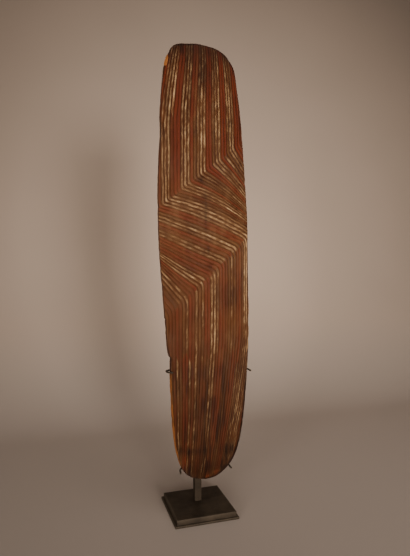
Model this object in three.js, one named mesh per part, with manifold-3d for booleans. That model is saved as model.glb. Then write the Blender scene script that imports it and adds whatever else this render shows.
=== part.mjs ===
// A long carved wooden shield with zigzag fluting, held upright on its metal display stand.
// Millimetres, +Z up. The origin is the centre of the plinth's underside, and the front faces -Y.
import * as THREE from 'three';
import { mergeVertices } from 'three/addons/utils/BufferGeometryUtils.js';
import Module from 'manifold-3d';

const wasm = await Module();
wasm.setup();

// Gap kept between pieces that touch
const GAP = 0.3;

// Plinth: one square block with a step round it
const PLINTH_SIDE = 120;
const PLINTH_TOP_SIDE = 112;
const PLINTH_STEP = 3.9;
const PLINTH_HEIGHT = 12.6;
const PLINTH_BEVEL = 0.9;

// Post: a square bar behind the shield
const POST_WIDTH = 13;
const POST_DEPTH = 14;
const POST_FRONT = 3;
const POST_TOP = 282;
const POST_BEVEL = 0.8;

// Arms: bent rods that hold the shield
const ROD_RADIUS = 1.6;
const ROD_SIDES = 8;
const ROD_STEPS = 30;

// Shield: where it stands and how thick it is
const SHIELD_TOP = 873.3;
const SHIELD_TIP = 63.8;
const MID_HEIGHT = (SHIELD_TOP + SHIELD_TIP) / 2;
const HALF_LENGTH = (SHIELD_TOP - SHIELD_TIP) / 2;
const RIM_Y = -27;
const BOW = 9;
const RIM_THICKNESS = 7;
const FRONT_CROWN = 13;
const BACK_CROWN = 6;
const EDGE_EASE = 1.3;

// Shield: the widest half-width, its height, and how fast the sides draw in from there
const WIDEST = 86;
const WIDEST_HEIGHT = 530;
const DRAW_IN_UP = 647;
const DRAW_IN_DOWN = 863;
const AXIS_TOP_X = -3;
const AXIS_LOW_X = 10;
const TOP_BLUNTNESS = 14;
const TIP_BLUNTNESS = 8;

// Flutes: pitch across the straight runs, depth, and the two slanting lines on which they bend
const UPPER_PITCH = 5.85;
const LOWER_PITCH = 5.74;
const FLUTE_DEPTH = 1.4;
const UPPER_BEND = { height: 635, rise: 0.8 };
const LOWER_BEND = { height: 436, rise: 0.93 };
const FLUTE_ZERO_X = 51;
const FIRST_FLUTE = -7;
const LAST_FLUTE = 50.5;
const LAST_UPPER_X = -85;
const CROWDING = 0.52;
const CROWDED_FROM = 19;
const CROWDED_OVER = 8;

// How the slanting runs lie, as [height on X = 0, fall there per mm of x, sag]
const SLANTS = [
  [270, 1.15, -0.002], [330, 1.05, -0.002], [375, 0.85, -0.002], [410, 0.62, -0.0018],
  [440, 0.46, -0.0014], [482, 0.41, -0.0004], [520, 0.38, 0], [550, 0.365, 0.0005],
  [570, 0.335, 0.001], [599, 0.38, 0.0015], [635, 0.55, 0.0015], [680, 0.77, 0.0015],
  [760, 1.15, 0.0015], [860, 1.63, 0.0015],
];
const SLANT_STEPS = 11;

// Back: shallow straight flutes
const BACK_PITCH = 13;
const BACK_DEPTH = 0.9;
const BACK_LINES = 16;
const BACK_LEVELS = 18;
const BACK_OVERRUN = 25;

// Handle: a bar left standing over a scooped finger hollow
const HANDLE_X = 3.5;
const HANDLE_HEIGHT = 467;
const HANDLE_HALF_LENGTH = 62;
const GRIP_HALF_LENGTH = 38;
const GRIP_OUTER_Y = 8;
const GRIP_INNER_Y = -5.5;
const GRIP_HALF_WIDTH = 12;
const FOOT_HALF_WIDTH = 20;
const FOOT_OUTER_Y = -21;
const FOOT_ROOT_Y = -30;
const SCOOP = { x: 48, y: 15.5, z: 40, centreY: -12 };

// Planes well clear of the board, to which it is roughed out before it is cut to shape
const CLEAR_BEHIND = 60;
const CLEAR_AHEAD = 80;

// Outline of the shield as [x, z], clockwise seen from the front, in stretches that each run smooth
const RIGHT_SIDE = [
  [-12, 873.3], [12, 872], [32.7, 866.4], [47.5, 857], [58, 843], [64, 829], [68.5, 797],
  [73.5, 757], [77.5, 712], [81.5, 652], [85.2, 592], [88, 540], [88.8, 455], [90.8, 370],
  [90.2, 305], [88, 260], [84, 200], [78, 150], [71.2, 120], [62, 97.5], [50, 82], [36, 71],
  [22, 65], [7, 63.8],
];
const BROKEN_SIDE = [
  [7, 63.8], [-6, 65.4], [-20, 70], [-31, 78], [-40.5, 92], [-47.6, 112], [-53, 137],
  [-57.6, 173], [-60.8, 220], [-62.3, 262], [-62.6, 296],
];
const STEP_AT_BREAK = [[-66.3, 304], [-67.7, 312]];
const LOW_LEFT_SIDE = [[-67.7, 312], [-70.4, 340], [-72, 363.5]];
const NICK = [[-70.9, 365.4], [-72.6, 368]];
const LEFT_SIDE = [
  [-72.6, 368], [-76.4, 412], [-80, 455], [-83.6, 515], [-85, 590], [-83.2, 652], [-80.2, 700],
  [-80.6, 732], [-78, 772], [-73.2, 820],
];
const CHIPPED_CORNER = [[-72.2, 824.5], [-71.1, 833], [-68, 844]];
const SHOULDER = [
  [-68, 844], [-64, 850], [-61, 857.3], [-53.6, 865.2], [-41, 869.4], [-27, 871], [-12, 873.3],
];

// Where wood has split off the rim, as [z, x at the back of the break, x at its front]
const LOST_RIM = [
  [297, -62.6, -61.8], [280, -62.4, -61.4], [262, -62.3, -60.2], [240, -61.8, -58.8],
  [206, -60.4, -57.6], [177, -58.2, -55.2], [150, -55, -52.6], [130, -51.6, -49.6],
  [110, -47, -45.2], [95, -41.8, -41], [84, -36.5, -37.5],
];
const LOST_CORNER = [[824, -72.4, -67.2], [833, -71.2, -65.2], [841, -68.9, -64.2], [848, -65.6, -65]];

// Colours
const PAINTED_WOOD = { color: 0x6b3018, roughness: 0.75, metalness: 0 };
const DARK_METAL = { color: 0x2b241d, roughness: 0.5, metalness: 0.6 };

// Small helpers

function smoothstep(value) {
  const t = Math.min(1, Math.max(0, value));
  return t * t * (3 - 2 * t);
}

function solidOf(geometry) {
  const bare = geometry.clone();
  for (const name of Object.keys(bare.attributes)) {
    if (name !== 'position') bare.deleteAttribute(name);
  }
  const merged = mergeVertices(bare, 1e-4);
  return new wasm.Manifold(new wasm.Mesh({
    numProp: 3,
    vertProperties: new Float32Array(merged.attributes.position.array),
    triVerts: new Uint32Array(merged.index.array),
  }));
}

function geometryOf(solid) {
  const mesh = solid.getMesh();
  const geometry = new THREE.BufferGeometry();
  geometry.setAttribute('position', new THREE.BufferAttribute(new Float32Array(mesh.vertProperties), 3));
  geometry.setIndex(new THREE.BufferAttribute(new Uint32Array(mesh.triVerts), 1));
  return geometry;
}

function indexedGeometry(vertices, triangles) {
  const geometry = new THREE.BufferGeometry();
  geometry.setAttribute('position', new THREE.Float32BufferAttribute(vertices.flat(), 3));
  geometry.setIndex(triangles.flat());
  return geometry;
}

// A closed skin over rings of equal length, each a list of [x, y, z], capped flat at both ends
function skinRings(rings, capTriangles) {
  const size = rings[0].length;
  const triangles = [];
  for (let r = 0; r + 1 < rings.length; r += 1) {
    for (let i = 0; i < size; i += 1) {
      const a = r * size + i;
      const b = r * size + (i + 1) % size;
      triangles.push([a, b, b + size], [a, b + size, a + size]);
    }
  }
  const last = (rings.length - 1) * size;
  for (const [a, b, c] of capTriangles) {
    triangles.push([c, b, a], [last + a, last + b, last + c]);
  }
  return indexedGeometry(rings.flat(), triangles);
}

function fan(size) {
  const triangles = [];
  for (let i = 1; i + 1 < size; i += 1) triangles.push([0, i, i + 1]);
  return triangles;
}

// A slab between a relief given as rows of [x, y, z] and a flat far side at farY
function slab(rows, farY) {
  const count = rows[0].length;
  const near = rows.flat();
  const far = near.map(([x, , z]) => [x, farY, z]);
  const offset = near.length;
  const triangles = [];
  const at = (row, column) => row * count + column;
  for (let r = 0; r + 1 < rows.length; r += 1) {
    for (let c = 0; c + 1 < count; c += 1) {
      const a = at(r, c);
      const b = at(r, c + 1);
      const d = at(r + 1, c);
      const e = at(r + 1, c + 1);
      triangles.push([a, b, e], [a, e, d]);
      triangles.push([offset + a, offset + e, offset + b], [offset + a, offset + d, offset + e]);
    }
  }
  const border = [];
  for (let c = 0; c < count; c += 1) border.push(at(0, c));
  for (let r = 1; r < rows.length; r += 1) border.push(at(r, count - 1));
  for (let c = count - 2; c >= 0; c -= 1) border.push(at(rows.length - 1, c));
  for (let r = rows.length - 2; r > 0; r -= 1) border.push(at(r, 0));
  border.forEach((a, i) => {
    const b = border[(i + 1) % border.length];
    triangles.push([a, offset + a, offset + b], [a, offset + b, b]);
  });
  return indexedGeometry([...near, ...far], triangles);
}

// Makes sure that a closed solid's faces point out, whichever way its rows ran
function facingOut(geometry) {
  const points = geometry.attributes.position;
  const index = geometry.index;
  const [a, b, c] = [new THREE.Vector3(), new THREE.Vector3(), new THREE.Vector3()];
  let volume = 0;
  for (let i = 0; i < index.count; i += 3) {
    a.fromBufferAttribute(points, index.getX(i));
    b.fromBufferAttribute(points, index.getX(i + 1));
    c.fromBufferAttribute(points, index.getX(i + 2));
    volume += a.dot(b.cross(c));
  }
  if (volume < 0) {
    for (let i = 0; i < index.count; i += 3) {
      const first = index.getX(i);
      index.setX(i, index.getX(i + 1));
      index.setX(i + 1, first);
    }
  }
  return geometry;
}

// Shield: the uncarved form

function rimY(z) {
  return RIM_Y + BOW * ((z - MID_HEIGHT) / HALF_LENGTH) ** 2;
}

function axisX(z) {
  return AXIS_TOP_X + (AXIS_LOW_X - AXIS_TOP_X) * smoothstep((720 - z) / 400);
}

function halfWidth(z) {
  const reach = z > WIDEST_HEIGHT ? DRAW_IN_UP : DRAW_IN_DOWN;
  return WIDEST * (1 - ((z - WIDEST_HEIGHT) / reach) ** 2);
}

// 1 on the board's axis, falling to 0 at its rim and both ends
function fullness(x, z) {
  const across = (x - axisX(z)) / halfWidth(z);
  const along = Math.abs(z - MID_HEIGHT) / HALF_LENGTH;
  const end = along ** (z > MID_HEIGHT ? TOP_BLUNTNESS : TIP_BLUNTNESS);
  return Math.max(0, 1 - across * across - end);
}

function frontY(x, z) {
  return rimY(z) - RIM_THICKNESS / 2 - FRONT_CROWN * fullness(x, z);
}

function backY(x, z) {
  return rimY(z) + RIM_THICKNESS / 2 + BACK_CROWN * fullness(x, z);
}

// Flutes: each is named by the height at which it crosses, or would cross, the plane X = 0

function slantAt(height) {
  const above = SLANTS.findIndex(([h]) => h >= height);
  if (above === 0) return SLANTS[0].slice(1);
  if (above < 0) return SLANTS.at(-1).slice(1);
  const [low, high] = [SLANTS[above - 1], SLANTS[above]];
  const t = (height - low[0]) / (high[0] - low[0]);
  return [low[1] + (high[1] - low[1]) * t, low[2] + (high[2] - low[2]) * t];
}

function slantZ(height, x) {
  const [fall, sag] = slantAt(height);
  return height - fall * x - sag * x * x;
}

function heightOfFlute(x, bend) {
  let height = bend.height;
  for (let i = 0; i < 60; i += 1) {
    const [fall, sag] = slantAt(height);
    height = bend.height + (bend.rise + fall) * x + sag * x * x;
  }
  return height;
}

function bendX(height, bend) {
  const [fall, sag] = slantAt(height);
  const slope = fall + bend.rise;
  const climb = height - bend.height;
  return 2 * climb / (slope + Math.sqrt(slope * slope + 4 * sag * climb));
}

// The straight flutes draw together towards both ends
function drawnIn(x, z) {
  if (z > 720) return x + (3 - 0.13 * x) * ((z - 720) / 100) ** 1.3;
  if (z < 330) return x - (6.8 + 0.214 * x) * ((330 - z) / 170) ** 1.2;
  return x;
}

// Flute n reckoned in pitches from flute 0. Round the middle they crowd up a little.
function place(n) {
  return n - CROWDING * smoothstep((n - CROWDED_FROM) / CROWDED_OVER);
}

// Valleys and crests in turn, from the upper right corner round to the lower left
function fluteHeights() {
  const lastUpper = heightOfFlute(LAST_UPPER_X, UPPER_BEND);
  const firstLowerX = bendX(lastUpper, LOWER_BEND);
  const heights = [];
  for (let n = FIRST_FLUTE; n <= LAST_FLUTE; n += 0.5) {
    const upperX = FLUTE_ZERO_X - UPPER_PITCH * place(n);
    const lowerX = firstLowerX - (LAST_UPPER_X - upperX) * LOWER_PITCH / UPPER_PITCH;
    if (upperX >= LAST_UPPER_X) heights.push(heightOfFlute(upperX, UPPER_BEND));
    else heights.push(heightOfFlute(lowerX, LOWER_BEND));
  }
  return heights;
}

function fluteLine(height) {
  const fromX = bendX(height, UPPER_BEND);
  const toX = bendX(height, LOWER_BEND);
  const fromZ = slantZ(height, fromX);
  const toZ = slantZ(height, toX);
  const line = [];
  for (const part of [1, 0.91, 0.82, 0.62, 0.32]) {
    line.push([fromX, fromZ + part * (SHIELD_TOP + 30 - fromZ)]);
  }
  for (let i = 0; i <= SLANT_STEPS; i += 1) {
    const x = fromX + (toX - fromX) * i / SLANT_STEPS;
    line.push([x, slantZ(height, x)]);
  }
  for (const part of [0.2, 0.45, 0.66, 0.82, 0.92, 1]) {
    line.push([toX, toZ + part * (SHIELD_TIP - 30 - toZ)]);
  }
  return line.map(([x, z]) => [drawnIn(x, z), z]);
}

function frontSlab() {
  const rows = fluteHeights().map((height, i) => {
    const cut = (i % 2 === 0 ? 1 : -1) * FLUTE_DEPTH / 2;
    return fluteLine(height).map(([x, z]) => [x, frontY(x, z) + cut, z]);
  });
  return solidOf(facingOut(slab(rows, CLEAR_BEHIND)));
}

function backSlab() {
  const rows = [];
  const levels = BACK_LEVELS;
  const reach = HALF_LENGTH + BACK_OVERRUN;
  for (let i = -BACK_LINES; i <= BACK_LINES; i += 1) {
    const cut = (Math.abs(i) % 2 === 0 ? 1 : -1) * BACK_DEPTH / 2;
    const row = [];
    for (let j = 0; j <= levels; j += 1) {
      const z = MID_HEIGHT - reach * Math.cos(Math.PI * j / levels);
      const x = axisX(z) + i * BACK_PITCH / 2;
      row.push([x, backY(x, z) + cut, z]);
    }
    rows.push(row);
  }
  return solidOf(facingOut(slab(rows, -CLEAR_AHEAD)));
}

// Shield: outline, losses and handle

function smoothStretch(points, step) {
  const curve = new THREE.SplineCurve(points.map(([x, z]) => new THREE.Vector2(x, z)));
  const count = Math.max(2, Math.round(curve.getLength() / step));
  return curve.getSpacedPoints(count).slice(0, -1).map((p) => [p.x, p.y]);
}

function outline() {
  return [
    ...smoothStretch(RIGHT_SIDE, 18),
    ...smoothStretch(BROKEN_SIDE, 15),
    ...[BROKEN_SIDE.at(-1), STEP_AT_BREAK[0]],
    ...smoothStretch(LOW_LEFT_SIDE, 20),
    ...[LOW_LEFT_SIDE.at(-1), NICK[0]],
    ...smoothStretch(LEFT_SIDE, 24),
    ...[LEFT_SIDE.at(-1), CHIPPED_CORNER[0], CHIPPED_CORNER[1]],
    ...smoothStretch(SHOULDER, 9),
  ];
}

// The outline drawn in by a distance, along the middle of its two edges' normals
function drawnInside(points, distance) {
  return points.map(([x, z], i) => {
    const [x0, z0] = points[(i + points.length - 1) % points.length];
    const [x1, z1] = points[(i + 1) % points.length];
    const length = Math.hypot(x1 - x0, z1 - z0);
    return [x - distance * (z0 - z1) / length, z - distance * (x1 - x0) / length];
  });
}

function outlineBlock() {
  const points = outline();
  const half = RIM_THICKNESS / 2;
  const profile = [
    [-45, EDGE_EASE], [-half - 1.1, EDGE_EASE], [-half + 1.2, 0], [half - 1.2, 0],
    [half + 1.1, EDGE_EASE], [45, EDGE_EASE],
  ];
  const rings = profile.map(([offset, inset]) => (
    drawnInside(points, inset).map(([x, z]) => [x, rimY(z) + offset, z])
  ));
  const flat = points.map(([x, z]) => new THREE.Vector2(x, z));
  const cap = THREE.ShapeUtils.triangulateShape(flat, []).map(([a, b, c]) => [c, b, a]);
  return solidOf(facingOut(skinRings(rings, cap)));
}

// A wedge that takes wood off the left rim between the stated back and front lines
function rimLoss(stations) {
  const rings = stations.map(([z, back, front]) => {
    const backAt = [back, rimY(z) + RIM_THICKNESS / 2];
    const frontAt = [front, frontY(front, z)];
    const run = [frontAt[0] - backAt[0], frontAt[1] - backAt[1]];
    return [
      [backAt[0] - run[0], backAt[1] - run[1], z],
      [frontAt[0] + run[0], frontAt[1] + run[1], z],
      [back - 45, frontAt[1] + run[1], z],
      [back - 45, backAt[1] - run[1], z],
    ];
  });
  return solidOf(facingOut(skinRings(rings, fan(4))));
}

function scoop() {
  const ball = new THREE.SphereGeometry(1, 28, 18);
  ball.scale(SCOOP.x, SCOOP.y, SCOOP.z);
  ball.translate(HANDLE_X, SCOOP.centreY, HANDLE_HEIGHT);
  return solidOf(ball);
}

function handle() {
  const stations = [-1, -0.88, -0.76, -0.66, -0.58, -0.3, 0, 0.3, 0.58, 0.66, 0.76, 0.88, 1];
  const corner = 0.45;
  const rings = stations.map((along) => {
    const reach = Math.abs(along);
    const grip = GRIP_HALF_LENGTH / HANDLE_HALF_LENGTH;
    const foot = smoothstep((reach - 0.3) / 0.7);
    const root = smoothstep((reach - grip + 0.03) / 0.16);
    const outer = GRIP_OUTER_Y + (FOOT_OUTER_Y - GRIP_OUTER_Y) * foot ** 2;
    const inner = GRIP_INNER_Y + (FOOT_ROOT_Y - GRIP_INNER_Y) * root;
    const half = GRIP_HALF_WIDTH + (FOOT_HALF_WIDTH - GRIP_HALF_WIDTH) * foot;
    const middle = (outer + inner) / 2;
    const deep = (outer - inner) / 2;
    const z = HANDLE_HEIGHT + along * HANDLE_HALF_LENGTH;
    const ring = [];
    for (const [sx, sy] of [[1, 1], [-1, 1], [-1, -1], [1, -1]]) {
      const wide = [sx * half, sy * deep * (1 - corner)];
      const tall = [sx * half * (1 - corner), sy * deep];
      const pair = sx * sy > 0 ? [wide, tall] : [tall, wide];
      for (const [x, y] of pair) ring.push([HANDLE_X + x, middle + y, z]);
    }
    return ring;
  });
  return solidOf(facingOut(skinRings(rings, fan(8))));
}

function shieldGeometry() {
  const board = frontSlab().intersect(backSlab()).intersect(outlineBlock());
  const worn = board.subtract(rimLoss(LOST_RIM)).subtract(rimLoss(LOST_CORNER));
  return geometryOf(worn.subtract(scoop()).add(handle()));
}

// Stand

function squareRing(half, bevel, z) {
  const b = half - bevel;
  const right = [[half, -b], [half, b], [b, half], [-b, half]];
  const left = right.map(([x, y]) => [-x, -y]);
  return [...right, ...left].map(([x, y]) => [x, y, z]);
}

function plinthGeometry() {
  const foot = PLINTH_SIDE / 2;
  const top = PLINTH_TOP_SIDE / 2;
  const rings = [
    squareRing(foot, PLINTH_BEVEL, 0),
    squareRing(foot, PLINTH_BEVEL, PLINTH_STEP - 0.6),
    squareRing(foot - 0.6, PLINTH_BEVEL, PLINTH_STEP),
    squareRing(top, PLINTH_BEVEL, PLINTH_STEP),
    squareRing(top, PLINTH_BEVEL, PLINTH_HEIGHT - PLINTH_BEVEL),
    squareRing(top - PLINTH_BEVEL, PLINTH_BEVEL, PLINTH_HEIGHT),
  ];
  return facingOut(skinRings(rings, fan(8)));
}

function postGeometry() {
  const bottom = PLINTH_HEIGHT + GAP;
  const rings = [bottom, POST_TOP - POST_BEVEL, POST_TOP].map((z, i) => {
    const inset = i === 2 ? POST_BEVEL : 0;
    const half = POST_WIDTH / 2 - inset;
    const deep = (POST_DEPTH / 2 - inset) / half;
    return squareRing(half, POST_BEVEL, z).map(([x, y]) => [x, y * deep, z]);
  });
  const geometry = facingOut(skinRings(rings, fan(8)));
  geometry.translate(0, POST_FRONT + POST_DEPTH / 2, 0);
  return geometry;
}

// A round rod bent through the given points
function rodGeometry(points) {
  const path = new THREE.CatmullRomCurve3(points.map((p) => new THREE.Vector3(...p)), false, 'centripetal');
  const section = new THREE.Shape();
  for (let i = 0; i < ROD_SIDES; i += 1) {
    const turn = 2 * Math.PI * (i + 0.5) / ROD_SIDES;
    const x = ROD_RADIUS * Math.cos(turn);
    const y = ROD_RADIUS * Math.sin(turn);
    if (i === 0) section.moveTo(x, y);
    else section.lineTo(x, y);
  }
  section.closePath();
  const options = { steps: ROD_STEPS, extrudePath: path, bevelEnabled: false };
  return geometryOf(solidOf(new THREE.ExtrudeGeometry(section, options)));
}

// The rods lie against the post's front face, bowed by a hair between their points there
const ROD_BOW = 0.3;
const ROD_ON_POST_Y = POST_FRONT - GAP - ROD_BOW - ROD_RADIUS;
const UPPER_ARM = [
  [-58.5, -35.8, 270.5], [-63, -35.2, 270.8], [-67.4, -31, 271], [-68.4, -25, 271.1], [-67, -19.3, 271.2],
  [-62, -15, 271.1], [-40, -6.5, 270.4], [-9, ROD_ON_POST_Y, 269.1], [0, ROD_ON_POST_Y, 268.8],
  [9, ROD_ON_POST_Y, 268.4], [60, -4.5, 266.4], [84, -9, 265.6], [92, -16, 265.4], [92.6, -24, 265.2],
  [92.4, -35, 265],
];
const LOWER_ARM = [
  [-43.6, -33, 84.8], [-42.6, -26, 85.4], [-41.4, -18.6, 85.8], [-37.4, -12.4, 85.8],
  [-22, -4, 85.2], [-9, ROD_ON_POST_Y, 85], [0, ROD_ON_POST_Y, 84.8], [9, ROD_ON_POST_Y, 84.6],
  [30, -1.5, 84.2], [48, -6, 83.8], [54.4, -13, 83.6], [54.8, -22, 83.4], [54.8, -31.5, 83.2],
];

// Scene

function piece(name, geometry, look) {
  const flat = geometry.toNonIndexed();
  flat.computeVertexNormals();
  const mesh = new THREE.Mesh(mergeVertices(flat), new THREE.MeshStandardMaterial(look));
  mesh.name = name;
  return mesh;
}

const shieldOnStand = new THREE.Group();
shieldOnStand.add(piece('shield', shieldGeometry(), PAINTED_WOOD));
shieldOnStand.add(piece('plinth', plinthGeometry(), DARK_METAL));
shieldOnStand.add(piece('post', postGeometry(), DARK_METAL));
shieldOnStand.add(piece('upper_arm', rodGeometry(UPPER_ARM), DARK_METAL));
shieldOnStand.add(piece('lower_arm', rodGeometry(LOWER_ARM), DARK_METAL));

export default shieldOnStand;
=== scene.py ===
"""A long carved wooden shield with painted zigzag fluting, standing on its blackened metal stand."""
import math

import bpy
import numpy as np
from bpy.props import FloatProperty, FloatVectorProperty, IntProperty, PointerProperty
from mathutils import Matrix, Vector
from mathutils.kdtree import KDTree


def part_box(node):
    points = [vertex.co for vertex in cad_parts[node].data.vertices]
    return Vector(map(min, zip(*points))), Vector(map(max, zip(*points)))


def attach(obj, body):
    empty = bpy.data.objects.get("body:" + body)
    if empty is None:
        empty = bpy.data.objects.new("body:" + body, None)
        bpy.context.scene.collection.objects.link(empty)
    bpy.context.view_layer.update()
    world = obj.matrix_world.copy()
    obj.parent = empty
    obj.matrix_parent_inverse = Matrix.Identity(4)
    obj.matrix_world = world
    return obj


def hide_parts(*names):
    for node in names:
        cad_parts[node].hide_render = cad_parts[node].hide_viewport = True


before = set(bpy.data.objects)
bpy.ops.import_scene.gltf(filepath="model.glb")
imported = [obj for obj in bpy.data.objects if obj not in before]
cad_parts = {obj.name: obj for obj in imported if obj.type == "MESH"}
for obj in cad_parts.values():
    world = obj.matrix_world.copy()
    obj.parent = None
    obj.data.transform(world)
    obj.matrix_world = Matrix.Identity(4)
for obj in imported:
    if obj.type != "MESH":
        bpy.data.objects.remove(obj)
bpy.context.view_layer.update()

bl_info = {
    "name": "Carved Shield on its Stand",
    "version": (1, 0, 0),
    "blender": (4, 5, 0),
    "location": "View3D > Sidebar > Shield",
    "description": "Carves and paints a zigzag fluted shield and stands it on its metal stand",
    "category": "Add Mesh",
}

# The carving is worked out in millimetres and becomes metres where a mesh is made
MM = 0.001

# The board's form
SHIELD_TOP = 873.3
SHIELD_TIP = 63.8
MID_HEIGHT = (SHIELD_TOP + SHIELD_TIP) / 2
HALF_LENGTH = (SHIELD_TOP - SHIELD_TIP) / 2
RIM_Y = -27.0
BOW = 9.0
RIM_THICKNESS = 7.0
FRONT_CROWN = 13.0
BACK_CROWN = 6.0
WIDEST = 86.0
WIDEST_HEIGHT = 530.0
DRAW_IN_UP = 647.0
DRAW_IN_DOWN = 863.0
AXIS_TOP_X = -3.0
AXIS_LOW_X = 10.0
TOP_BLUNTNESS = 14
TIP_BLUNTNESS = 8
RIM_CHECK_STEP = 0.8
EDGE_EASE = 1.3
CLEAR_BEHIND = 60.0
CLEAR_AHEAD = 80.0

# The flutes: pitch on the two straight runs, and the slanting lines on which they bend
UPPER_PITCH = 5.85
LOWER_PITCH = 5.74
FLUTE_ROUNDNESS = 2.2
FLUTE_ZERO_X = 51.0
FIRST_FLUTE = -7
LAST_UPPER_X = -85.0
CROWDING = 0.52
CROWDED_FROM = 19
CROWDED_OVER = 8
LAST_FLUTE = 51
UPPER_BEND = (635.0, 0.8)
LOWER_BEND = (436.0, 0.93)
UPPER_ROUNDING = 6.0
LOWER_ROUNDING = 12.0

# Mesh points down each flute above, on and below its slant, and how far it runs past both ends
FLUTE_POINTS = (70, 56, 84)
PAST_THE_END = 30

# The furthest that rounding can shift a flute at its bends
LARGEST_SHIFT = 14.0

# How the slanting runs lie, as (height on X = 0, fall there per mm of x, sag)
SLANTS = [
    (270, 1.15, -0.002), (330, 1.05, -0.002), (375, 0.85, -0.002), (410, 0.62, -0.0018),
    (440, 0.46, -0.0014), (482, 0.41, -0.0004), (520, 0.38, 0), (550, 0.365, 0.0005),
    (570, 0.335, 0.001), (599, 0.38, 0.0015), (635, 0.55, 0.0015), (680, 0.77, 0.0015),
    (760, 1.15, 0.0015), (860, 1.63, 0.0015),
]

# How the straight flutes draw in: from this height, over this length, at this power, with a shift
# sideways and a share of x at the end of the length
TOP_DRAW_FROM = 720.0
TOP_DRAW_OVER = 100
TOP_DRAW_POWER = 1.3
TOP_SHIFT = 3
TOP_DRAW = 0.13
TIP_DRAW_FROM = 330.0
TIP_DRAW_OVER = 170
TIP_DRAW_POWER = 1.2
TIP_SHIFT = 6.8
TIP_DRAW = 0.214

# The back's straight flutes
BACK_PITCH = 13.0
BACK_DEPTH = 0.9
BACK_FLUTES = 16
BACK_LINES = 8
BACK_POINTS = 150
BACK_PAST_END = 25

# The handle and the hollow scooped under it
HANDLE_X = 3.5
HANDLE_HEIGHT = 467.0
HANDLE_HALF_LENGTH = 62.0
GRIP_HALF_LENGTH = 38.0
GRIP_OUTER_Y = 8.0
GRIP_INNER_Y = -5.5
GRIP_HALF_WIDTH = 12.0
FOOT_HALF_WIDTH = 20.0
FOOT_OUTER_Y = -21.0
FOOT_ROOT_Y = -30.0
SCOOP_SIZE = (48.0, 15.5, 40.0)
SCOOP_Y = -12.0

# The outline as (x, z), clockwise seen from the front, in stretches that each run smooth
RIGHT_SIDE = [
    (-12, 873.3), (12, 872), (32.7, 866.4), (47.5, 857), (58, 843), (64, 829), (68.5, 797),
    (73.5, 757), (77.5, 712), (81.5, 652), (85.2, 592), (88, 540), (88.8, 455), (90.8, 370),
    (90.2, 305), (88, 260), (84, 200), (78, 150), (71.2, 120), (62, 97.5), (50, 82), (36, 71),
    (22, 65), (7, 63.8),
]
BROKEN_SIDE = [
    (7, 63.8), (-6, 65.4), (-20, 70), (-31, 78), (-40.5, 92), (-47.6, 112), (-53, 137),
    (-57.6, 173), (-60.8, 220), (-62.3, 262), (-62.6, 296),
]
STEP_AT_BREAK = [(-62.6, 296), (-64.6, 298.6), (-66.3, 304)]
LOW_LEFT_SIDE = [(-67.7, 312), (-70.4, 340), (-72, 363.5)]
NICK = [(-72, 363.5), (-70.9, 365.4)]
LEFT_SIDE = [
    (-72.6, 368), (-76.4, 412), (-80, 455), (-83.6, 515), (-85, 590), (-83.2, 652), (-80.2, 700),
    (-80.6, 732), (-78, 772), (-73.2, 820),
]
CHIPPED_CORNER = [(-73.2, 820), (-72.2, 824.5), (-71.1, 833)]
SHOULDER = [
    (-68, 844), (-64, 850), (-61, 857.3), (-53.6, 865.2), (-41, 869.4), (-27, 871), (-12, 873.3),
]

# Where wood has split off the rim, as (z, x at the back of the break, x at its front)
LOST_RIM = [
    (297, -62.6, -61.8), (280, -62.4, -61.4), (262, -62.3, -60.2), (240, -61.8, -58.8),
    (206, -60.4, -57.6), (177, -58.2, -55.2), (150, -55, -52.6), (130, -51.6, -49.6),
    (110, -47, -45.2), (95, -41.8, -41), (84, -36.5, -37.5),
]
LOST_CORNER = [(824, -72.4, -67.2), (833, -71.2, -65.2), (841, -68.9, -64.2), (848, -65.6, -65)]

# What each flute is painted, from flute -7 on: C cream, c faint cream, t tan, R red, r dull red,
# k bare wood. The paint was laid by stretches, so each stretch has its own row.
PAINT_TOP = "rrrrRRcCCRRCCcRRcCcRRCCcRRCCcrRccrrrr"
PAINT_ABOVE = "rrrrRRcCtRRCCtRRCCctRCCcRRrCCcrccrrrr"
PAINT_SLANT = "rrrrRRcctcRcccRRtctkRccCrkcCCcRRtCcRrccRRrRrcCcRrrCctkrrtrrr"
PAINT_BELOW = "rrrrRRCCCRRCCCRRCCCRRCCCRRCCCCCkRrtctrRRcCCRRctcrRctrRrrtrrr"
PAINT_TIP = "rrrrRRCCCRRCCCRRCCCRRCCCRRCCCCCCcRRrtkRRrcCkrrkCrCRRtCrtrrrr"
TOP_PAINT_FROM = 725.0
TIP_PAINT_FROM = 296.0

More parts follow.
